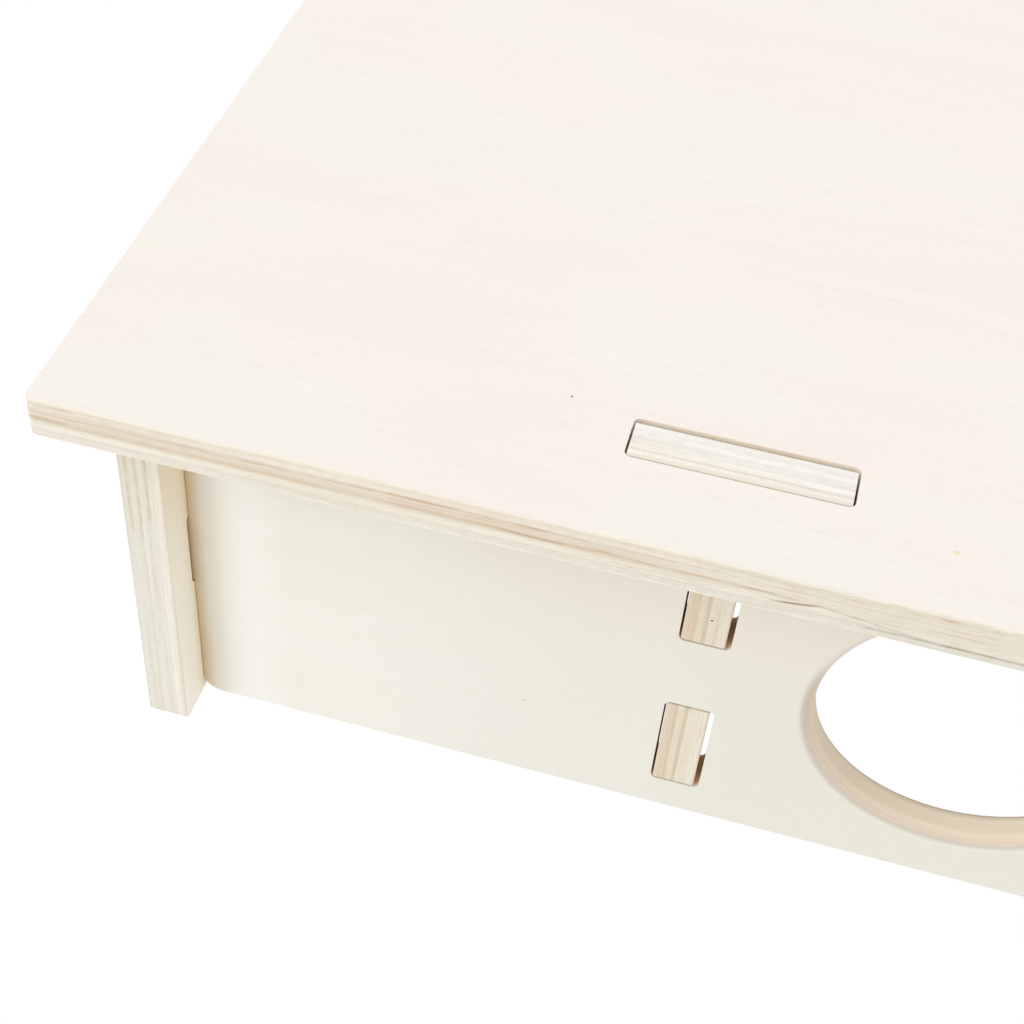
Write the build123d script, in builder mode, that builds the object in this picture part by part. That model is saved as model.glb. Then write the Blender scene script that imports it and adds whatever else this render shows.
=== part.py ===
"""Three-room wooden hamster house: seven plywood panels that plug together without glue or screws.

The house has no floor: it stands on the lower edges of its walls, and the roof lifts straight off.
Frame: +X to the right, +Y to the back, +Z up.  The origin is on the ground under the middle of the roof.
"""
from build123d import *
import os

# Seven-ply birch board, cut on a router
sheet = 9.3                 # sold as 9 mm
edge_ease = 0.25            # sanded arrises of every panel
corner_radius = 2.0         # roof and side walls
inner_corner_radius = 4.5   # panels that stand between the side walls

# Overall sizes
roof_length = 385.0
roof_depth = 250.0
wall_height = 95.8
roof_overhang = 11.5        # roof past the side walls, on all four sides
wall_setback = 10.5         # front and back wall, in from the ends of the side walls

# Rooms
partition_x = 59.1          # middle of the house to the middle of each partition
entrance_diameter = 68.0
doorway_diameter = 68.0
entrance_round = 3.0        # rounding of the entrance's rims, so that they rub no fur
doorway_bevel = 1.5         # bevel of the doorways' rims

# Tabs
roof_tab_length = 43.0      # on the front and back wall, up through the roof
side_tab_height = 20.0      # on the front and back wall, out through the side walls
partition_tab_height = 26.4     # on the partitions, two at each end, through the front and back wall
lower_tab_inset = 9.8       # ground to the partitions' lower tabs
upper_tab_inset = 11.7      # partitions' upper tabs to the roof

# Slots
slot_gap = 0.5              # least clearance between a tab and its slot, and that at a tab's ends
slot_play = 1.7             # how much wider a slot is than the sheet is thick
slot_corner_radius = 1.5    # left by the router bit

# Faces of the walls
outer_x = roof_length / 2 - roof_overhang           # side walls
inner_x = outer_x - sheet
wall_end_y = roof_depth / 2 - roof_overhang
outer_y = wall_end_y - wall_setback                 # front and back wall
inner_y = outer_y - sheet
wall_middle_y = outer_y - sheet / 2

# Heights
wall_middle_z = wall_height / 2
partition_tab_z = (
    lower_tab_inset + partition_tab_height / 2,
    wall_height - upper_tab_inset - partition_tab_height / 2,
)

# A slot whose tab bears on one side lies this far over to the other
slot_shift = slot_play / 2 - slot_gap

SIDES = (-1, 1)             # left and right, or front and back


def slot(tab_length, rotation=0):
    """Draw the slot for a tab of this length, which lies along X unless it is rotated."""
    RectangleRounded(tab_length + 2 * slot_gap, sheet + slot_play, slot_corner_radius, rotation)


def opening(panel, face, diameter):
    """Bore a round opening half way up the panel, and give the edges of its two rims."""
    with BuildSketch(face) as bore:
        with Locations((0, wall_middle_z)):
            Circle(diameter / 2)
    extrude(bore.sketch, amount=-sheet, mode=Mode.SUBTRACT)
    return panel.edges(Select.LAST).filter_by(GeomType.CIRCLE)


# Roof: it rests on the top edges of all the walls.  The tabs of the front and back wall, which end
# flush with its upper face, bear on the outer sides of its slots and keep it in place
with BuildPart() as roof:
    with BuildSketch(Plane.XY.offset(wall_height)):
        RectangleRounded(roof_length, roof_depth, corner_radius)
    extrude(amount=sheet)
    chamfer(roof.faces().filter_by(Axis.Z).edges(), edge_ease)
    with BuildSketch(Plane.XY.offset(wall_height)):
        with GridLocations(2 * partition_x, 2 * (wall_middle_y - slot_shift), 2, 2):
            slot(roof_tab_length)
    extrude(amount=sheet, mode=Mode.SUBTRACT)
roof.part.label = "roof"
panels = [roof.part]

# Front and back wall: they stand between the side walls.  The front wall alone has the entrance.
# The partitions' tabs bear on the outer sides of their slots
for side, name in zip(SIDES, ("front_wall", "back_wall")):
    face = Plane(origin=(0, side * outer_y, 0), x_dir=(-side, 0, 0), z_dir=(0, side, 0))
    with BuildPart() as wall:
        with BuildSketch(face):
            with Locations((0, wall_middle_z)):
                RectangleRounded(2 * inner_x, wall_height, inner_corner_radius)
                Rectangle(2 * outer_x, side_tab_height)
            with Locations((-partition_x, wall_height), (partition_x, wall_height)):
                Rectangle(roof_tab_length, 2 * sheet)
        extrude(amount=-sheet)
        chamfer(wall.faces().filter_by(Axis.Y).edges(), edge_ease)
        with BuildSketch(face):
            for end in SIDES:
                with Locations(*((end * (partition_x - slot_shift), z) for z in partition_tab_z)):
                    slot(partition_tab_height, rotation=90)
        extrude(amount=-sheet, mode=Mode.SUBTRACT)
        if name == "front_wall":
            fillet(opening(wall, face, entrance_diameter), entrance_round)
    wall.part.label = name
    panels.append(wall.part)

# Side walls: they reach past the front and back wall, whose end tabs plug through them
for side, name in zip(SIDES, ("left_side_wall", "right_side_wall")):
    face = Plane(origin=(side * outer_x, 0, 0), x_dir=(0, side, 0), z_dir=(side, 0, 0))
    with BuildPart() as wall:
        with BuildSketch(face):
            with Locations((0, wall_middle_z)):
                RectangleRounded(2 * wall_end_y, wall_height, corner_radius)
        extrude(amount=-sheet)
        chamfer(wall.faces().filter_by(Axis.X).edges(), edge_ease)
        with BuildSketch(face):
            with Locations((-wall_middle_y, wall_middle_z), (wall_middle_y, wall_middle_z)):
                slot(side_tab_height, rotation=90)
        extrude(amount=-sheet, mode=Mode.SUBTRACT)
    wall.part.label = name
    panels.append(wall.part)

# Partitions: they part the three rooms from the front wall to the back wall, and each has a round
# doorway in its middle
for side, name in zip(SIDES, ("left_partition", "right_partition")):
    face = Plane.YZ.offset(side * partition_x + sheet / 2)
    with BuildPart() as partition:
        with BuildSketch(face):
            with Locations((0, wall_middle_z)):
                RectangleRounded(2 * inner_y, wall_height, inner_corner_radius)
            with Locations(*((0, z) for z in partition_tab_z)):
                Rectangle(2 * outer_y, partition_tab_height)
        extrude(amount=-sheet)
        chamfer(partition.faces().filter_by(Axis.X).edges(), edge_ease)
        chamfer(opening(partition, face, doorway_diameter), doorway_bevel)
    partition.part.label = name
    panels.append(partition.part)

os.makedirs("parts", exist_ok=True)
for panel in panels:
    export_step(panel, f"parts/{panel.label}.step")
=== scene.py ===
"""Looks of the three-room wooden hamster house: bare sanded birch plywood in a soft white studio."""

from math import radians

import bpy
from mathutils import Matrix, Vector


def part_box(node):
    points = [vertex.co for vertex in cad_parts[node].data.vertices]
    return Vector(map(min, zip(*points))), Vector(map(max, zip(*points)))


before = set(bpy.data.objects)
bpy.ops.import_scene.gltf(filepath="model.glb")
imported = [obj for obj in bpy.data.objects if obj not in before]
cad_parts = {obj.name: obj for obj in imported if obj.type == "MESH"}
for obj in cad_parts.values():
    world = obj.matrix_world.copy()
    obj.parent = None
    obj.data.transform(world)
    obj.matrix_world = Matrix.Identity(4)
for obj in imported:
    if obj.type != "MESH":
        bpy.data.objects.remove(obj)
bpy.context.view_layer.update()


# ---------------------------------------------------------------------------
# Roof.  A loose plate of seven-ply birch: peeled veneers glued with their fibres
# crossing, two thin sanded faces over five thicker plies.  It is sawn and slotted
# on a router, and its front edge shows brown heartwood in the middle plies.
# ---------------------------------------------------------------------------
MM = 1000.0             # in a metre: every length that a material reads is in millimetres


def corners_of(node_name):
    """A panel's lowest and its highest corner, in millimetres."""
    return [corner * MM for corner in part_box(node_name)]


underside, top = [corner.z for corner in corners_of("roof")]
SHEET = top - underside
FACE_PLY = 0.6
INNER_PLIES = 5
INNER_PLY = (SHEET - 2 * FACE_PLY) / INNER_PLIES
BLEND = 0.14            # either side of a change of tone on a cut edge
FACE_ROUGHNESS, CUT_ROUGHNESS = 0.62, 0.78
PANEL_STRIDE = 617.0    # from the pattern of one panel to the next, so that no two are alike
PLY_STRIDE = 83.0       # from the pattern of one ply to the next
X, Y, DOWN = (1.0, 0.0, 0.0), (0.0, 1.0, 0.0), (0.0, 0.0, -1.0)


def add(tree, kind, feeds=None, **settings):
    """Place a node with these settings, each of its inputs fed by a value or a socket."""
    node = tree.nodes.new("ShaderNode" + kind)
    for name, value in settings.items():
        setattr(node, name, value)
    for key, value in (feeds or {}).items():
        if isinstance(value, bpy.types.NodeSocket):
            tree.links.new(value, node.inputs[key])
        else:
            node.inputs[key].default_value = value
    return node


def sums(tree, operation, *values):
    """One sum on numbers, as a socket."""
    return add(tree, "Math", dict(enumerate(values)), operation=operation).outputs[0]


def product(tree, first, *others):
    """These numbers multiplied together, as a socket."""
    for other in others:
        first = sums(tree, "MULTIPLY", first, other)
    return first


def vectors(tree, operation, *values, output="Vector"):
    """One sum on vectors, as a socket."""
    return add(tree, "VectorMath", dict(enumerate(values)), operation=operation).outputs[output]


def vector(tree, x=0.0, y=0.0, z=0.0):
    """The vector with these three parts, as a socket."""
    return add(tree, "CombineXYZ", {0: x, 1: y, 2: z}).outputs[0]


def parts_of(tree, whole):
    """The three parts of a vector, as sockets."""
    return add(tree, "SeparateXYZ", {0: whole}).outputs


def step(tree, value, low, high, to_low=0.0, to_high=1.0):
    """A smooth step: to_low where the value is under low, to_high where it is over high."""
    feeds = {"Value": value, "From Min": low, "From Max": high, "To Min": to_low, "To Max": to_high}
    return add(tree, "MapRange", feeds, interpolation_type="SMOOTHSTEP").outputs["Result"]


def noise(tree, place, stretch, detail=2.0):
    """Cloudy noise from 0 to 1, whose clouds are this many millimetres long each way."""
    feeds = {"Vector": vectors(tree, "DIVIDE", place, stretch), "Scale": 1.0, "Detail": detail}
    return add(tree, "TexNoise", feeds).outputs["Fac"]


def wander(tree, place, stretch, reach, detail=2.0):
    """The same noise, from minus to plus reach."""
    return sums(tree, "MULTIPLY_ADD", noise(tree, place, stretch, detail), 2 * reach, -reach)


def mix(tree, factor, a, b, kind="RGBA", mode="MIX"):
    """Mix two colours, or with kind FLOAT or VECTOR two values, as a socket."""
    first = {"FLOAT": 2, "VECTOR": 4, "RGBA": 6}[kind]
    settings = {"data_type": kind} if kind != "RGBA" else {"data_type": kind, "blend_type": mode}
    node = add(tree, "Mix", {0: factor, first: a, first + 1: b}, **settings)
    return node.outputs[{"FLOAT": 0, "VECTOR": 1, "RGBA": 2}[kind]]


def new_group(name, inputs, outputs):
    """An empty node group with these sockets: the group, what it takes in and what it gives out."""
    tree = bpy.data.node_groups.new(name, "ShaderNodeTree")
    for way, sockets in (("INPUT", inputs), ("OUTPUT", outputs)):
        for label, kind in sockets.items():
            tree.interface.new_socket(label, in_out=way, socket_type="NodeSocket" + kind)
    return tree, tree.nodes.new("NodeGroupInput").outputs, tree.nodes.new("NodeGroupOutput").inputs


def give(tree, given, **values):
    """Put values out of a node group, by name with _ for a space."""
    for name, value in values.items():
        tree.links.new(value, given[name.replace("_", " ")])


def use(tree, group, **feeds):
    """Place a node group, its inputs fed by name with _ for a space, and give its outputs."""
    node = tree.nodes.new("ShaderNodeGroup")
    node.node_tree = group
    for name, value in feeds.items():
        socket = node.inputs[name.replace("_", " ")]
        if isinstance(value, bpy.types.NodeSocket):
            tree.links.new(value, socket)
        else:
            socket.default_value = value
    return node.outputs


WHITE = 0.86            # the base colour that the studio's light turns into pure white


def paint(red, green, blue):
    """The base colour that looks like this under the studio's light, out of 255.  A value over 255 is
    painted light, for places that the light leaves dim.
    """
    parts = [c / 255 for c in (red, green, blue)]
    linear = [c / 12.92 if c <= 0.04045 else ((c + 0.055) / 1.055) ** 2.4 for c in parts]
    return tuple(c * WHITE for c in linear) + (1.0,)


# Where a point lies in its sheet, in millimetres: X along the face veneer's fibres, Y across them and
# Z down into the sheet from its outer face.  Facing is the surface's normal in the same directions
in_sheet, taken, given = new_group(
    "Place in the sheet",
    {"Fibres": "Vector", "Across": "Vector", "Inwards": "Vector", "Outer face": "Float"},
    {"Place": "Vector", "Facing": "Vector"},
)
coordinates = add(in_sheet, "TexCoord").outputs
turned = {}
for source in ("Object", "Normal"):
    turned[source] = [
        vectors(in_sheet, "DOT_PRODUCT", coordinates[source], taken[way], output="Value")
        for way in ("Fibres", "Across", "Inwards")
    ]
along, across, inwards = [product(in_sheet, metres, MM) for metres in turned["Object"]]
depth = sums(in_sheet, "SUBTRACT", inwards, taken["Outer face"])
give(
    in_sheet, given,
    Place=vector(in_sheet, along, across, depth), Facing=vector(in_sheet, *turned["Normal"]),
)

# Plies: how deep a point lies once the inner plies have swollen and thinned by a few tenths of a
# millimetre, which ply that is, and whether its fibres cross those of the face.  The glue lines
# between them come and go
plies, taken, given = new_group(
    "Plies",
    {"Place": "Vector", "Seed": "Float"},
    {"Depth": "Float", "Ply": "Float", "Crossing": "Float", "Glue line": "Float"},
)
shift = vector(plies, product(plies, taken["Seed"], PANEL_STRIDE))
place = vectors(plies, "ADD", taken["Place"], shift)
depth = parts_of(plies, taken["Place"])["Z"]
from_middle = sums(plies, "ABSOLUTE", sums(plies, "SUBTRACT", depth, SHEET / 2))
swell = sums(plies, "ADD", wander(plies, place, (30.0, 30.0, 5.0), 0.45),
             wander(plies, place, (7.0, 7.0, 2.0), 0.25))
swell = product(plies, swell, step(plies, from_middle, 2.4, 4.2, 1.0, 0.15))
depth = sums(plies, "ADD", depth, swell)
steps = sums(plies, "DIVIDE", sums(plies, "SUBTRACT", depth, FACE_PLY), INNER_PLY)
ply = sums(plies, "ADD", sums(plies, "FLOOR", steps), 1.0)
ply = add(plies, "Clamp", {0: ply, 1: 0.0, 2: INNER_PLIES + 1.0}).outputs[0]
from_line = sums(plies, "ABSOLUTE", sums(plies, "SUBTRACT", steps, sums(plies, "ROUND", steps)))
within = sums(plies, "COMPARE", steps, INNER_PLIES / 2, INNER_PLIES / 2 + 0.2)
patchy = step(plies, noise(plies, place, (12.0, 12.0, 1.4), 3.0), 0.4, 0.65, 0.1, 1.0)
give(
    plies, given,
    Depth=depth, Ply=ply, Crossing=sums(plies, "PINGPONG", ply, 1.0),
    Glue_line=product(plies, step(plies, from_line, 0.02, 0.1, 1.0, 0.0), within, patchy),
)

# Fibres: streaks, growth rings and pores of one ply, and the slow drift of its tone.  The first three
# are drawn out along its fibres, so across them, on end grain, they become specks.  End grain is 1
# where the surface cuts straight across
fibres, taken, given = new_group(
    "Fibres",
    {"Place": "Vector", "Facing": "Vector", "Ply": "Float", "Crossing": "Float", "Seed": "Float"},
    {"Drift": "Float", "Streaks": "Float", "Rings": "Float", "Pores": "Float", "End grain": "Float"},
)
turned = {}
for name in ("Place", "Facing"):
    x, y, z = parts_of(fibres, taken[name])
    turned[name] = mix(fibres, taken["Crossing"], taken[name], vector(fibres, y, x, z), "VECTOR")
own = sums(fibres, "ADD", product(fibres, taken["Ply"], PLY_STRIDE),
           product(fibres, taken["Seed"], PANEL_STRIDE))
own = vector(fibres, own, own, own)
place = vectors(fibres, "ADD", turned["Place"], own)
coarse = noise(fibres, place, (75.0, 1.5, 1.5), 4.0)
fine = noise(fibres, place, (16.0, 0.3, 0.3), 2.0)
rings = sums(fibres, "SINE", product(fibres, noise(fibres, place, (190.0, 26.0, 26.0), 1.5), 42.0))
across_fibres = sums(fibres, "ABSOLUTE", parts_of(fibres, turned["Facing"])["X"])
give(
    fibres, given,
    Drift=noise(fibres, vectors(fibres, "ADD", taken["Place"], own), (34.0, 34.0, 1.1), 3.0),
    Streaks=mix(fibres, 0.35, coarse, fine, "FLOAT"),
    Rings=sums(fibres, "MULTIPLY_ADD", rings, 0.5, 0.5),
    Pores=step(fibres, noise(fibres, place, (3.2, 0.26, 0.26), 0.0), 0.68, 0.76),
    End_grain=step(fibres, across_fibres, 0.15, 0.95),
)

# Bare plywood: the face veneer's two tones on the faces and the plies' own on every cut, marked by
# fibres, pores and glue lines, with the sanded arrises a little paler
bare_plywood, taken, given = new_group(
    "Bare plywood",
    {
        "Place": "Vector", "Facing": "Vector", "Face": "Color", "Blush": "Color", "Cut": "Color",
        "Drift": "Float", "Streaks": "Float", "Rings": "Float", "Pores": "Float", "End grain": "Float",
        "Glue line": "Float", "Seed": "Float",
    },
    {"Color": "Color", "Roughness": "Float", "Height": "Float", "On cut": "Float"},
)
ways = [sums(bare_plywood, "ABSOLUTE", way) for way in parts_of(bare_plywood, taken["Facing"])]
on_cut = step(bare_plywood, ways[2], 0.8, 0.98, 1.0, 0.0)
steepest = sums(bare_plywood, "MAXIMUM", sums(bare_plywood, "MAXIMUM", ways[0], ways[1]), ways[2])
arris = step(bare_plywood, steepest, 0.76, 0.9, 0.15, 0.0)

shift = vector(bare_plywood, z=product(bare_plywood, taken["Seed"], PANEL_STRIDE))
place = vectors(bare_plywood, "ADD", taken["Place"], shift)
clouds = step(bare_plywood, noise(bare_plywood, place, (70.0, 38.0, 38.0), 3.0), 0.38, 0.64)
face = mix(bare_plywood, clouds, taken["Face"], taken["Blush"])

# How far streaks, rings and pores darken the faces, and then each mark with its own tone on the cuts
marked = step(bare_plywood, taken["Streaks"], 0.35, 0.65, 0.036, 0.0)
marked = sums(bare_plywood, "MULTIPLY_ADD", taken["Rings"], 0.03, marked)
marked = sums(bare_plywood, "MULTIPLY_ADD", taken["Pores"], 0.084, marked)
face = mix(bare_plywood, marked, face, paint(214, 190, 158))
band = taken["Cut"]
for mark, tone in (
    (step(bare_plywood, taken["Drift"], 0.35, 0.7, 0.0, 0.25), paint(224, 208, 184)),
    (step(bare_plywood, taken["Streaks"], 0.3, 0.68, 0.22, 0.0), paint(208, 190, 164)),
    (product(bare_plywood, taken["End grain"], 0.12), paint(206, 184, 156)),
    (product(bare_plywood, taken["Pores"], 0.22), paint(200, 178, 150)),
    (product(bare_plywood, taken["Glue line"], 0.15), paint(180, 156, 126)),
):
    band = mix(bare_plywood, mark, band, tone)

roughness = sums(bare_plywood, "ADD", mix(bare_plywood, on_cut, FACE_ROUGHNESS, CUT_ROUGHNESS, "FLOAT"),
                 step(bare_plywood, taken["Streaks"], 0.3, 0.7, -0.05, 0.05))
height = sums(bare_plywood, "SUBTRACT", taken["Streaks"], taken["Pores"])
height = sums(bare_plywood, "SUBTRACT", height, product(bare_plywood, taken["Glue line"], on_cut))
give(
    bare_plywood, given,
    Color=mix(bare_plywood, arris, mix(bare_plywood, on_cut, face, band), paint(240, 230, 212)),
    Roughness=roughness, Height=height, On_cut=on_cut,
)


class Plywood:
    """The material of one panel, whose fibres, width and depth lie along, across and inwards.

    The seed gives it a pattern of its own.  faces are the face veneer's two tones, and layers say at
    which depths the cut edge changes its tone, from the outer face inwards.
    """

    def __init__(self, node_name, along, across, inwards, seed, faces, layers):
        self.low, self.high = corners_of(node_name)
        outer_face = min(sum(a * b for a, b in zip(inwards, corner)) for corner in (self.low, self.high))
        material = bpy.data.materials.new(node_name + "_plywood")
        material.use_nodes = True
        tree = self.tree = material.node_tree
        tree.nodes.clear()
        at = use(tree, in_sheet, Fibres=along, Across=across, Inwards=inwards, Outer_face=outer_face)
        self.place, facing = at["Place"], at["Facing"]
        layered = use(tree, plies, Place=self.place, Seed=seed)
        ramp = add(tree, "ValToRGB", {0: sums(tree, "DIVIDE", layered["Depth"], SHEET)})
        stops = ramp.color_ramp.elements
        stops.remove(stops[1])
        stops[0].color = layers[0][1]
        for (_, before), (depth, after) in zip(layers, layers[1:]):
            stops.new((depth - BLEND) / SHEET).color = before
            stops.new((depth + BLEND) / SHEET).color = after
        marks = use(tree, fibres, Place=self.place, Facing=facing, Ply=layered["Ply"],
                    Crossing=layered["Crossing"], Seed=seed)
        wood = use(tree, bare_plywood, Place=self.place, Facing=facing, Face=faces[0], Blush=faces[1],
                   Cut=ramp.outputs["Color"], Drift=marks["Drift"], Streaks=marks["Streaks"],
                   Rings=marks["Rings"], Pores=marks["Pores"], End_grain=marks["End grain"],
                   Glue_line=layered["Glue line"], Seed=seed)
        self.on_cut = wood["On cut"]
        self.on_faces = sums(tree, "SUBTRACT", 1.0, self.on_cut)
        bump = add(tree, "Bump", {"Strength": 0.3, "Distance": 0.1 / MM, "Height": wood["Height"]})
        self.shader = add(tree, "BsdfPrincipled", {
            "Base Color": wood["Color"], "Roughness": wood["Roughness"], "Normal": bump.outputs[0],
            "Specular IOR Level": 0.3})
        add(tree, "OutputMaterial", {"Surface": self.shader.outputs[0]})
        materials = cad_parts[node_name].data.materials
        materials.clear()
        materials.append(material)

    def stain(self, tone, *masks, mode="MIX"):
        """Lay a tone over the colour, as far as all of these masks go from 0 to 1."""
        colored = self.shader.inputs["Base Color"]
        under = colored.links[0].from_socket
        self.tree.links.new(mix(self.tree, product(self.tree, *masks), under, tone, mode=mode), colored)

    def shade(self, red, green, blue, *masks):
        """Dim the colour to these shares of itself, as far as all of these masks go from 0 to 1."""
        self.stain((red, green, blue, 1.0), *masks, mode="MULTIPLY")


roof = Plywood(
    "roof", X, Y, DOWN, 1.0, (paint(246, 241, 234), paint(247, 239, 232)),
    ((0.0, paint(247, 242, 229)), (0.55, paint(241, 234, 219)), (0.9, paint(248, 241, 228)),
     (2.1, paint(233, 225, 211)), (2.85, paint(232, 222, 204)), (3.55, paint(235, 223, 205)),
     (4.25, paint(229, 219, 199)), (5.1, paint(237, 230, 213)), (5.5, paint(245, 239, 224)),
     (6.75, paint(239, 236, 226)), (7.2, paint(238, 235, 224)), (7.55, paint(243, 240, 229)),
     (8.6, paint(244, 242, 229))),
)

# The walls of the slots are painted a tone for the light and shade in their narrow gaps: on the roof a
# painted light, lighter than its cuts, and on the walls a tan that browns their shade
SLOT_PLAY = 1.7         # how much wider a slot is than the sheet is thick
SLOT_GAP = 0.5          # at a tab's ends, and on the side of its slot that it bears on
SLOT_WIDTH = SHEET + SLOT_PLAY
SLOT_SHIFT = SLOT_PLAY / 2 - SLOT_GAP   # inwards, of the slots whose tabs bear on one side
ROOF_SLOT = 44.0        # length
partition_x = sum(corner.x for corner in corners_of("right_partition")) / 2
wall_y = sum(corner.y for corner in corners_of("back_wall")) / 2


def paint_slot_light_and_shade(panel, tone, along, across):
    """Paint a tone over the cuts at a slot and at its mirror images, as the painted light and shade of
    its gaps.  Each way is the slot's middle and its size.
    """
    masks = [panel.on_cut]
    for place, (middle, size) in zip(parts_of(panel.tree, panel.place), (along, across)):
        apart = sums(panel.tree, "ABSOLUTE", place)
        apart = sums(panel.tree, "ABSOLUTE", sums(panel.tree, "SUBTRACT", apart, middle))
        masks.append(step(panel.tree, apart, size / 2 + 0.3, size / 2 + 0.7, 1.0, 0.0))
    panel.stain(tone, *masks)


# On the roof the slot walls get a painted light, lighter than white
paint_slot_light_and_shade(roof, paint(258, 244, 226), (partition_x, ROOF_SLOT), (wall_y - SLOT_SHIFT, SLOT_WIDTH))

# To the right the middle plies of the front edge are paler, and the whole edge is greyer and more torn
along, across, depth = parts_of(roof.tree, roof.place)
on_front = step(roof.tree, across, roof.low.y + 0.1, roof.low.y + 0.5, 1.0, 0.0)
roof.stain(
    paint(242, 235, 220), on_front, step(roof.tree, along, -80.0, -55.0, 0.0, 0.6),
    step(roof.tree, depth, 1.9, 2.3), step(roof.tree, depth, 5.1, 5.5, 1.0, 0.0),
)
roof.shade(0.955, 0.965, 0.97, on_front, step(roof.tree, along, -110.0, -40.0))
torn = step(roof.tree, noise(roof.tree, roof.place, (6.0, 0.5, 0.32), 1.0), 0.5, 0.64)
roof.stain(paint(214, 200, 176), on_front, torn, step(roof.tree, along, -90.0, -40.0, 0.12, 0.42))

# A seam is brown heartwood or a crack at one depth of a cut edge, from one place along it to another.
# It may sink as it goes
SEAM_FADE = 4.0         # length, at each end
seam, taken, given = new_group(
    "Seam",
    {
        "Place": "Vector", "Depth": "Float", "From": "Float", "To": "Float", "Width": "Float",
        "Sinking": "Float",
    },
    {"Mask": "Float"},
)
along, _, depth = parts_of(seam, taken["Place"])
since = sums(seam, "SUBTRACT", along, taken["From"])
until = sums(seam, "SUBTRACT", taken["To"], along)
line = vector(seam, along, taken["Depth"])
level = sums(seam, "MULTIPLY_ADD", since, taken["Sinking"], taken["Depth"])
level = sums(seam, "ADD", level, wander(seam, line, (11.0, 1.0, 1.0), 0.35, 1.0))
off = sums(seam, "ABSOLUTE", sums(seam, "SUBTRACT", depth, level))
off = sums(seam, "DIVIDE", off, taken["Width"])
ragged = step(seam, noise(seam, line, (5.0, 1.0, 1.0), 1.0), 0.3, 0.6, 0.35, 1.0)
ends = [step(seam, inside, 0.0, SEAM_FADE) for inside in (since, until)]
give(seam, given, Mask=product(seam, step(seam, off, 0.25, 1.0, 1.0, 0.0), ragged, *ends))


def add_seams(panel, place, where, *seams):
    """Mark seams where this mask is 1: each a tone, strength, depth, start, stop, width and sinking."""
    for tone, strength, depth, start, stop, width, sinking in seams:
        found = use(panel.tree, seam, Place=place, Depth=depth, From=start, To=stop, Width=width,
                    Sinking=sinking)
        panel.stain(tone, found["Mask"], where, strength)


heart, crack, grey_crack = paint(204, 170, 134), paint(150, 118, 88), paint(130, 116, 98)
add_seams(
    roof, roof.place, on_front,
    (heart, 0.35, 1.1, -198.0, -180.0, 0.5, 0.0),
    (heart, 0.5, 4.5, -198.0, -182.0, 0.55, 0.0),
    (heart, 0.3, 3.0, -196.0, -158.0, 0.35, -0.006),
    (heart, 0.25, 4.9, -184.0, -158.0, 0.4, -0.01),
    (heart, 0.5, 2.8, -163.0, -120.0, 0.45, -0.004),
    (heart, 0.25, 4.8, -162.0, -128.0, 0.6, 0.0),
    (heart, 0.8, 2.5, -123.0, -88.0, 0.45, 0.0),
    (heart, 0.4, 4.65, -124.0, -80.0, 0.6, 0.0),
    (crack, 0.3, 4.65, -101.0, -82.0, 0.35, 0.0),
    (heart, 0.35, 3.3, -122.0, -90.0, 0.4, 0.0),
    (heart, 0.35, 2.7, -92.0, -56.0, 0.35, -0.01),
    (heart, 0.6, 4.3, -84.0, -42.0, 0.45, 0.01),
    (heart, 0.25, 6.4, -88.0, -40.0, 0.3, -0.012),
    (heart, 0.2, 8.1, -140.0, -60.0, 0.3, 0.0),
    (crack, 0.95, 4.5, -54.0, -45.5, 0.3, 0.0),
    (crack, 0.85, 6.4, -49.5, -38.0, 0.36, -0.14),
    (heart, 0.3, 2.6, -60.0, -8.0, 0.35, 0.004),
    (heart, 0.3, 1.25, -64.0, 4.0, 0.4, 0.0),
    (grey_crack, 0.3, 4.7, -42.0, -16.0, 0.3, 0.12),
    (heart, 0.5, 4.4, -22.0, -8.0, 0.35, 0.0),
    (heart, 0.7, 1.0, -21.0, -14.0, 0.4, -0.02),
    (grey_crack, 0.65, 7.5, -33.0, 30.0, 0.32, 0.0),
    (heart, 0.6, 4.7, 40.0, 130.0, 0.6, -0.004),
    (heart, 0.6, 2.2, 96.0, 150.0, 0.5, 0.0),
)

# A speck is a small knot or fleck in the veneer
speck, taken, given = new_group(
    "Speck", {"Place": "Vector", "Center": "Vector", "Size": "Float"}, {"Mask": "Float"})
apart = vectors(speck, "DISTANCE", taken["Place"], taken["Center"], output="Value")
apart = sums(speck, "DIVIDE", apart, taken["Size"])
apart = sums(speck, "ADD", apart, wander(speck, taken["Place"], (0.3, 0.3, 0.3), 0.3))
give(speck, given, Mask=step(speck, apart, 0.25, 0.6, 1.0, 0.0))


def add_specks(panel, tone, *specks):
    """Put specks of this tone on a panel, each given by its centre and its width."""
    for center, size in specks:
        panel.stain(tone, use(panel.tree, speck, Place=panel.place, Center=center, Size=size)["Mask"])


add_specks(roof, paint(150, 130, 108), ((-94.1, -90.7, 0.0), 0.6), ((71.0, 48.0, 0.0), 0.5))
add_specks(roof, paint(244, 226, 190), ((-17.9, -108.8, 0.0), 1.4), ((104.0, -20.0, 0.0), 1.2))


# ---------------------------------------------------------------------------
# Front and back wall.  Each stands between the side walls on its lower edge, with
# a tab into each of them and two up through the roof.  The entrance is bored
# through the front wall and its rims are rounded over.
# ---------------------------------------------------------------------------
Z, FORWARD = (0.0, 0.0, 1.0), (0.0, -1.0, 0.0)
wall_faces = (paint(243, 242, 231), paint(242, 239, 228))
wall_layers = (
    (0.0, paint(243, 239, 229)), (0.55, paint(256, 252, 245)), (1.6, paint(241, 236, 229)),
    (2.35, paint(253, 249, 241)), (3.6, paint(249, 247, 240)), (5.2, paint(252, 250, 245)),
    (6.9, paint(255, 255, 254)), (8.5, paint(254, 255, 254)),
)
front_wall = Plywood("front_wall", X, Z, Y, 2.0, wall_faces, wall_layers)
back_wall = Plywood("back_wall", X, Z, FORWARD, 3.0, wall_faces, wall_layers)
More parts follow.
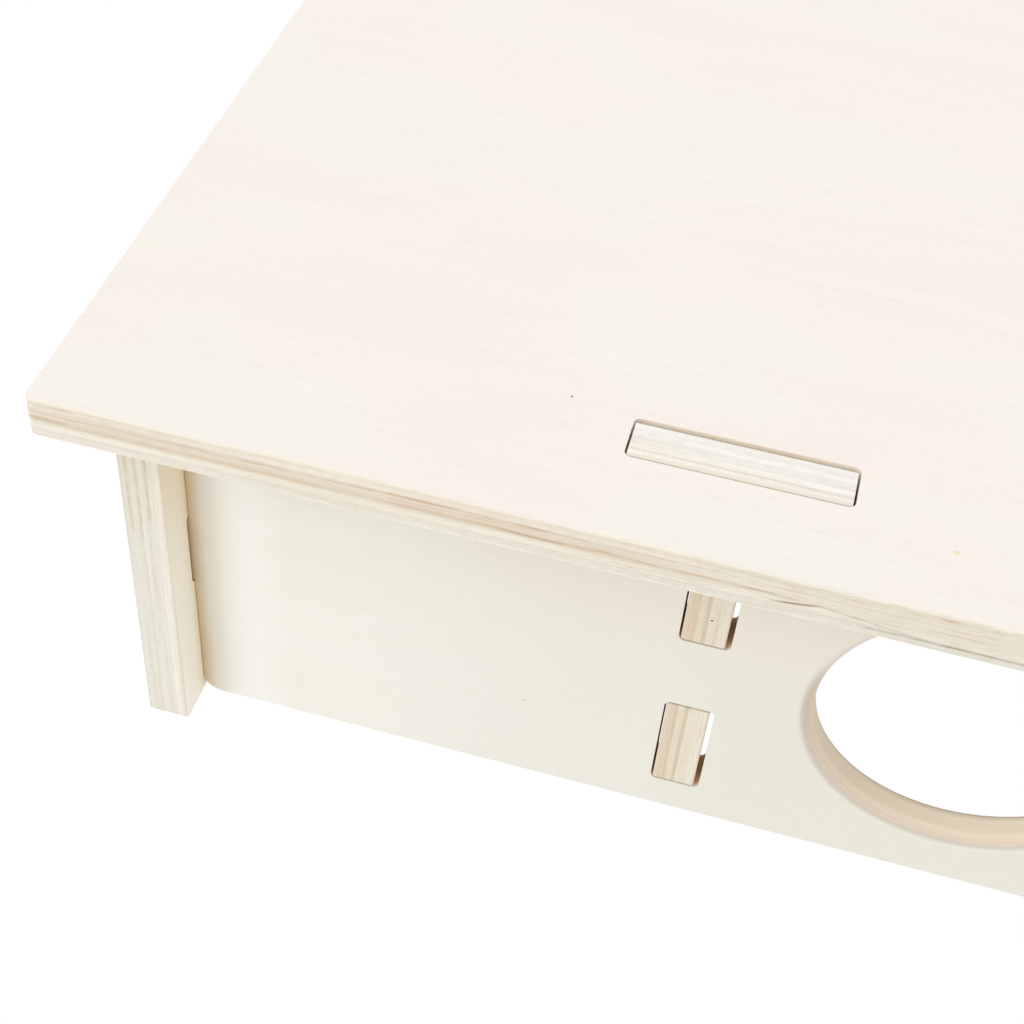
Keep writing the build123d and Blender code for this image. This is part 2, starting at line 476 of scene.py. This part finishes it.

# The partitions' two slots, one above the other, are painted as one, with a tan that browns the shade in
# their gaps
SLOTS_LOW, SLOTS_HIGH = 9.3, 84.6       # the lower one's lower end and the upper one's upper end
slot_shade_tan = paint(255, 214, 170)
for wall in (front_wall, back_wall):
    paint_slot_light_and_shade(wall, slot_shade_tan, (partition_x - SLOT_SHIFT, SLOT_WIDTH),
               ((SLOTS_LOW + SLOTS_HIGH) / 2, SLOTS_HIGH - SLOTS_LOW))

# To the right of the left side wall the front veneer turns slowly darker, a painted shade where the light
# falls off, and rosy under the roof, a painted shade from the roof
tree = front_wall.tree
along, up, depth = parts_of(tree, front_wall.place)
on_outer_face = step(tree, depth, 0.4, 1.0, 1.0, 0.0)
front_wall.stain(paint(234, 231, 219), on_outer_face, step(tree, along, -155.0, -75.0, 0.0, 0.9))
front_wall.stain(paint(239, 229, 213), on_outer_face, step(tree, along, -140.0, -70.0, 0.0, 0.7),
                 step(tree, up, 42.0, 80.0))

# The entrance's rim was burnished by the cutter, and is a little browner than the straight cuts.  Its
# rounding is painted darker, a painted shade, less above and in a narrower band on the right.  The face
# is a little darker too from left of the entrance to the right, most low down
ENTRANCE_RADIUS = 34.0
ENTRANCE_ROUND = 3.0    # the rounding's radius
entrance_height = roof.low.z / 2
from_rim = vectors(tree, "DISTANCE", vector(tree, along, up), (0.0, entrance_height, 0.0), output="Value")
from_rim = sums(tree, "SUBTRACT", from_rim, ENTRANCE_RADIUS)
front_wall.stain(paint(252, 235, 211), step(tree, from_rim, 0.2, 1.2, 0.75, 0.0))
outwards = sums(tree, "ADD", from_rim, step(tree, along, -32.0, -6.0, 0.0, 0.5))
front_wall.shade(
    0.82, 0.77, 0.73, step(tree, from_rim, 0.0, 0.65),
    step(tree, outwards, 1.9, ENTRANCE_ROUND, 1.0, 0.0), step(tree, up, 51.0, 61.0, 1.0, 0.1),
)
front_wall.shade(0.97, 0.96, 0.955, on_outer_face, step(tree, along, -70.0, -45.0, 0.0, 0.8),
                 step(tree, up, 35.0, 60.0, 1.0, 0.3))
add_specks(front_wall, paint(190, 172, 148), ((-94.9, 25.0, 0.0), 0.5), ((96.0, 31.0, 0.0), 0.5))

# Painted shade darkens the corners where the walls meet the side walls, and next to them the faces are
# painted a little paler, a painted light.  Both are weaker on the right.  A dark brown painted shade also
# covers the tabs inside the side walls' slots
inner_x = corners_of("right_side_wall")[0].x
for wall in (front_wall, back_wall):
    tree = wall.tree
    along = parts_of(tree, wall.place)["X"]
    side_gap = sums(tree, "SUBTRACT", inner_x, sums(tree, "ABSOLUTE", along))
    weaker = step(tree, along, -60.0, 60.0, 1.0, 0.4)
    wall.stain(paint(250, 249, 239), weaker, step(tree, side_gap, 3.5, 8.0, 0.0, 0.9),
               step(tree, side_gap, 11.0, 24.0, 1.0, 0.0))
    before_slot = step(tree, side_gap, -0.3, 0.0)
    wall.shade(0.74, 0.57, 0.36, weaker, before_slot, step(tree, side_gap, -1.0, 4.5, 1.0, 0.0))
    wall.shade(0.99, 0.96, 0.93, weaker, before_slot, step(tree, side_gap, 5.0, 11.0, 1.0, 0.0))
    wall.stain(paint(204, 178, 142), wall.on_faces, step(tree, side_gap, -0.1, 0.05, 1.0, 0.0))


# ---------------------------------------------------------------------------
# Side walls.  Plain boards of the same sheet, slotted for the end tabs of the
# front and back wall.  Their ends reach past those walls and show the plies.  Inside
# the ends the veneer carries a yellow painted light, with painted shade in the corner
# and under the roof, and the cut ends carry painted shade under the roof.
# ---------------------------------------------------------------------------
SIDE_SLOT = 21.0        # height
LEFT = (-1.0, 0.0, 0.0)
# The ply from 8.5 mm to 9.05 mm is painted lighter, a painted highlight along the edge between the end
# and the inner face
side_layers = (
    (0.0, paint(232, 233, 228)), (0.6, paint(236, 233, 221)), (1.5, paint(232, 230, 217)),
    (2.2, paint(238, 239, 227)), (3.4, paint(237, 236, 224)), (4.2, paint(238, 237, 225)),
    (5.3, paint(237, 237, 227)), (6.3, paint(240, 239, 229)), (7.3, paint(243, 240, 229)),
    (8.5, paint(246, 241, 228)), (9.05, paint(242, 235, 218)),
)
grain = paint(208, 186, 160)
# A yellow painted light for the inner faces near the ends
painted_light_yellow = (0.9, 0.85, 0.74, 1.0)


def add_end_seams(panel, *seams):
    """Mark seams that run up the front and the back end of a panel, given as for add_seams."""
    tree = panel.tree
    along, up, depth = parts_of(tree, panel.place)
    on_ends = step(tree, sums(tree, "ABSOLUTE", along), panel.high.y - 0.3, panel.high.y - 0.1)
    add_seams(panel, vector(tree, up, along, depth), on_ends, *seams)


# The last number is how much of the yellow painted light lies on the veneer inside the ends
for name, inwards, seed, painted_light_share in (("left_side_wall", X, 4.0, 1.0), ("right_side_wall", LEFT, 5.0, 0.4)):
    wall = Plywood(name, Y, Z, inwards, seed, wall_faces, side_layers)
    tree = wall.tree
    # The slots' walls get the same tan, painted to brown the shade in their gaps
    paint_slot_light_and_shade(wall, slot_shade_tan, (wall_y, SLOT_WIDTH), (wall.high.z / 2, SIDE_SLOT))
    along, up, depth = parts_of(tree, wall.place)
    past_wall = sums(tree, "SUBTRACT", sums(tree, "ABSOLUTE", along), back_wall.high.y)
    inner_end = (step(tree, depth, SHEET - 0.4, SHEET - 0.1), wall.on_faces,
                 step(tree, past_wall, -0.5, 0.0, 0.0, painted_light_share))
    # On the inner face near the end: a yellow painted light, then painted shade in the corner by the wall
    # and under the roof; on the cut ends, painted shade under the roof
    wall.stain(painted_light_yellow, *inner_end)
    wall.shade(1.0, 0.93, 0.75, step(tree, past_wall, -1.0, 4.0, 1.0, 0.0), *inner_end)
    wall.shade(0.94, 0.84, 0.7, step(tree, up, 40.0, 96.0), *inner_end)
    wall.shade(1.0, 0.97, 0.91, step(tree, up, 60.0, 92.0), wall.on_cut)
    add_end_seams(
        wall,
        (grain, 0.5, 1.75, 60.0, 102.0, 0.5, 0.0),
        (grain, 0.5, 3.9, 58.0, 102.0, 0.5, 0.0),
        (grain, 0.6, 6.0, 64.0, 102.0, 0.5, 0.0),
        (grain, 0.2, 3.85, 24.0, 58.0, 0.45, 0.0),
        (grain, 0.3, 5.1, 40.0, 70.0, 0.3, 0.01),
    )


# ---------------------------------------------------------------------------
# Partitions.  Two boards of the same sheet with a bored doorway, which part the
# three rooms.  Their tabs plug through the front and back wall, two at each end,
# and end flush with them, as browner end grain.
# ---------------------------------------------------------------------------
partition_layers = (
    (0.0, paint(233, 221, 200)), (0.6, paint(228, 211, 188)), (1.6, paint(224, 206, 181)),
    (2.6, paint(236, 229, 209)), (4.0, paint(219, 204, 178)), (4.95, paint(236, 230, 212)),
    (5.6, paint(238, 231, 213)), (6.8, paint(237, 230, 214)), (7.9, paint(236, 229, 211)),
    (8.4, paint(242, 234, 217)),
)
partitions = {}
for name, inwards, seed in (("left_partition", X, 6.0), ("right_partition", LEFT, 7.0)):
    partitions[name] = Plywood(name, Y, Z, inwards, seed, wall_faces, partition_layers)
    add_end_seams(
        partitions[name],
        (grain, 0.35, 1.2, -6.0, 102.0, 0.35, 0.0),
        (grain, 0.35, 2.2, -6.0, 60.0, 0.4, 0.0),
        (grain, 0.45, 4.3, -6.0, 102.0, 0.3, 0.0),
        (grain, 0.3, 6.7, 52.0, 102.0, 0.5, 0.0),
    )

# The end of the left partition's upper front tab has one black speck
left_partition = partitions["left_partition"]
add_specks(left_partition, paint(70, 62, 54), ((left_partition.low.y, 65.2, 5.5), 0.55))


# ---------------------------------------------------------------------------
# Studio.  A white light table under the house, an even white room, a soft light at
# the front left and a weaker one higher up.
# ---------------------------------------------------------------------------
TABLE_REACH = 6.0       # metres each way
corners = [(x * TABLE_REACH, y * TABLE_REACH, 0.0) for x, y in ((-1, -1), (1, -1), (1, 1), (-1, 1))]
table_mesh = bpy.data.meshes.new("light_table")
table_mesh.from_pydata(corners, [], [(0, 1, 2, 3)])
light_table = bpy.data.objects.new("light_table", table_mesh)
bpy.context.collection.objects.link(light_table)
glow = bpy.data.materials.new("light_table_glow")
glow.use_nodes = True
glow.node_tree.nodes.clear()
lit = add(glow.node_tree, "Emission", {"Color": (1.0, 1.0, 1.0, 1.0), "Strength": 1.0})
add(glow.node_tree, "OutputMaterial", {"Surface": lit.outputs[0]})
table_mesh.materials.append(glow)

room = bpy.data.worlds.new("white_room")
bpy.context.scene.world = room
room.use_nodes = True
backdrop = room.node_tree.nodes["Background"].inputs
backdrop["Color"].default_value = (1.0, 1.0, 1.0, 1.0)
backdrop["Strength"].default_value = 1.0
LIGHT_BREADTH = 35.0    # degrees, for soft shadows


def soft_light(name, azimuth, elevation, strength):
    """A broad soft light far away, to the right of the front by azimuth and this high, in degrees."""
    lamp = bpy.data.lights.new(name, "SUN")
    lamp.energy = strength
    lamp.angle = radians(LIGHT_BREADTH)
    light = bpy.data.objects.new(name, lamp)
    light.rotation_euler = (radians(90.0 - elevation), 0.0, radians(azimuth))
    bpy.context.collection.objects.link(light)


soft_light("key_light", azimuth=-45.0, elevation=30.0, strength=0.75)
soft_light("high_light", azimuth=-20.0, elevation=60.0, strength=0.3)
bpy.context.scene.view_settings.view_transform = "Standard"


# ---------------------------------------------------------------------------
# Camera.  It stands above the front left of the roof and looks down at the
# entrance, close enough that the right half of the house is out of view.
# ---------------------------------------------------------------------------
SENSOR_WIDTH, FOCAL_LENGTH = 36.0, 61.416       # mm
PITCH, ROLL, TURN = 44.2866, -3.6417, 15.0259   # degrees: up from straight down, sideways, to the left
lens = bpy.data.cameras.new("camera")
lens.sensor_width = SENSOR_WIDTH
lens.lens = FOCAL_LENGTH
lens.clip_start = 0.01
camera = bpy.data.objects.new("camera", lens)
camera.location = (-0.053801, -0.340925, 0.330344)
camera.rotation_euler = (radians(PITCH), radians(ROLL), radians(TURN))
bpy.context.collection.objects.link(camera)
bpy.context.scene.camera = camera
